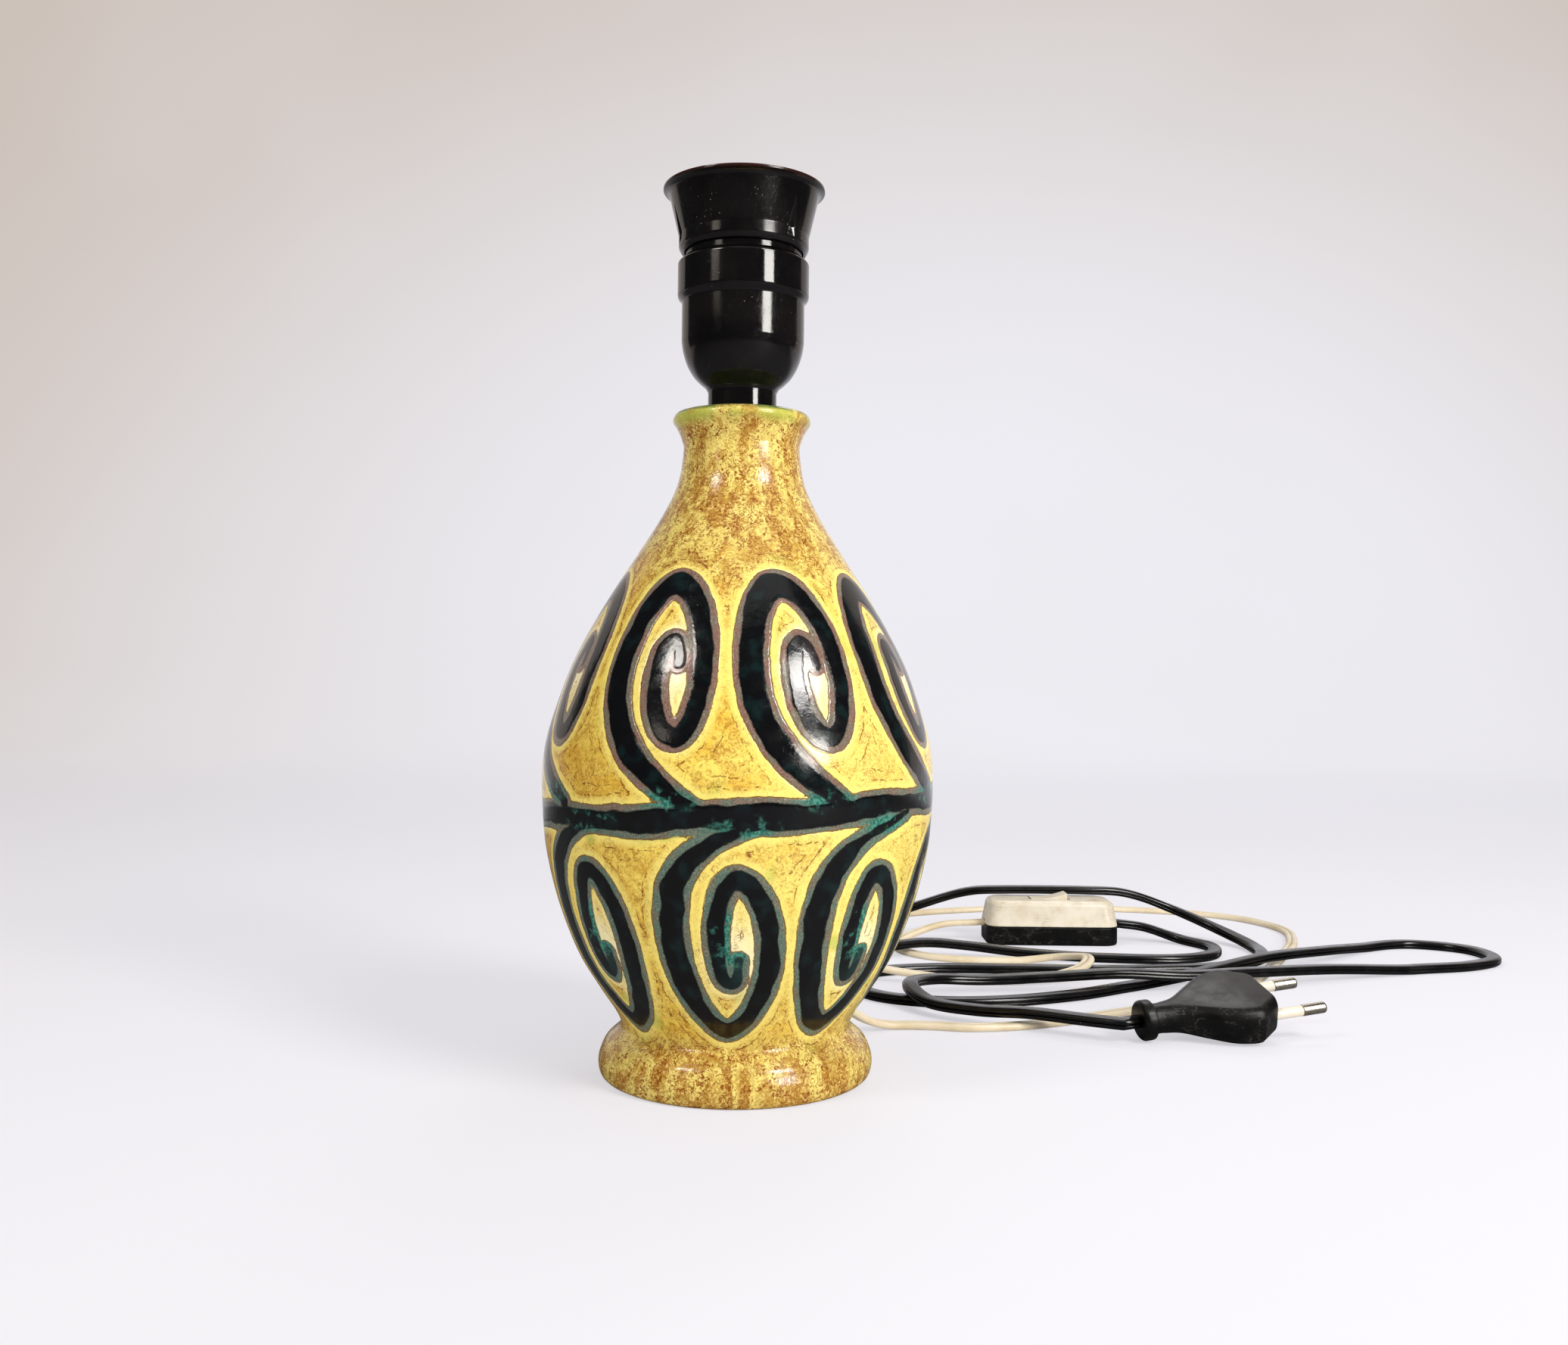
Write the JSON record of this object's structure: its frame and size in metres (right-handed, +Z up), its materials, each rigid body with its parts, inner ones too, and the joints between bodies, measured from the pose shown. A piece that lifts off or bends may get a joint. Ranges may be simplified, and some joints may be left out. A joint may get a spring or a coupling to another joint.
{
  "type": "table lamp base",
  "caption": "Glazed ceramic table lamp base with scroll ornament, E27 lampholder with shade ring, and a mains lead with in-line rocker switch and flat two-pin plug.",
  "frame": {"origin": "on the table, on the axis of the ceramic body", "axes": "+Z up along the body's axis, -Y towards the viewer of the picture, +X to the side where the lead lies"},
  "size_m": [0.399, 0.3822, 0.2803],
  "materials": {
    "glazed_ceramic": "satin gloss glaze, mottled amber and yellow, with black and green scrolls",
    "black_moulding": "glossy black thermoset",
    "cream_moulding": "satin aged cream",
    "pin_sleeve": "satin white",
    "porcelain": "glazed",
    "brass": "rolled",
    "plated_steel": "zinc plated",
    "nickelled_brass": "nickel plated, lightly worn",
    "pale_sheath": "aged ivory, ribbed",
    "black_sheath": "glossy black"
  },
  "bodies": {
    "lamp": {"ceramic_body": "glazed_ceramic", "cord_bushing": "black_moulding", "threaded_tube": "plated_steel", "tube_washer": "plated_steel", "tube_nut": "brass", "holder_cap": "black_moulding", "lock_screw": "plated_steel", "holder_mantle": "black_moulding", "insulator_core": "porcelain", "thread_sleeve": "brass", "side_contact": "brass", "terminal_live": "brass", "terminal_neutral": "brass", "terminal_screw_live": "plated_steel", "terminal_screw_neutral": "plated_steel", "core_screw_live": "plated_steel", "core_screw_neutral": "plated_steel", "inner_lead": "pale_sheath", "core_live": "pale_sheath", "core_neutral": "pale_sheath", "switch_bottom": "black_moulding", "switch_top": "cream_moulding", "rocker_pin": "plated_steel", "switch_contact_in": "brass", "switch_contact_out": "brass", "neutral_link": "brass", "case_screw_left": "plated_steel", "case_screw_right": "plated_steel", "plug_body": "black_moulding", "plug_pin_near": "nickelled_brass", "plug_pin_far": "nickelled_brass", "plug_sleeve_near": "pin_sleeve", "plug_sleeve_far": "pin_sleeve", "pale_lead": "pale_sheath", "black_lead": "black_sheath"},
    "shade_clamp": {"shade_ring": "black_moulding"},
    "rocker": {"switch_rocker": "cream_moulding", "contact_bridge": "brass"},
    "bulb_tongue": {"centre_contact": "brass"}
  },
  "joints": [
    {"name": "shade_ring_turn", "type": "hinge", "parent": "lamp", "child": "shade_clamp", "pos_m": [0, 0, 0.265], "axis": [0, 0, 1], "continuous": true},
    {"name": "switch_rock", "type": "hinge", "parent": "lamp", "child": "rocker", "pos_m": [0.142, 0.23, 0.0171], "axis": [0, 1, 0], "range_deg": [0, 16]},
    {"name": "centre_contact_press", "type": "hinge", "parent": "lamp", "child": "bulb_tongue", "pos_m": [0.0076, 0, 0.24795], "axis": [0, -1, 0], "range_deg": [0, 10], "stiffness_Nm_per_rad": 0.002}
  ]
}
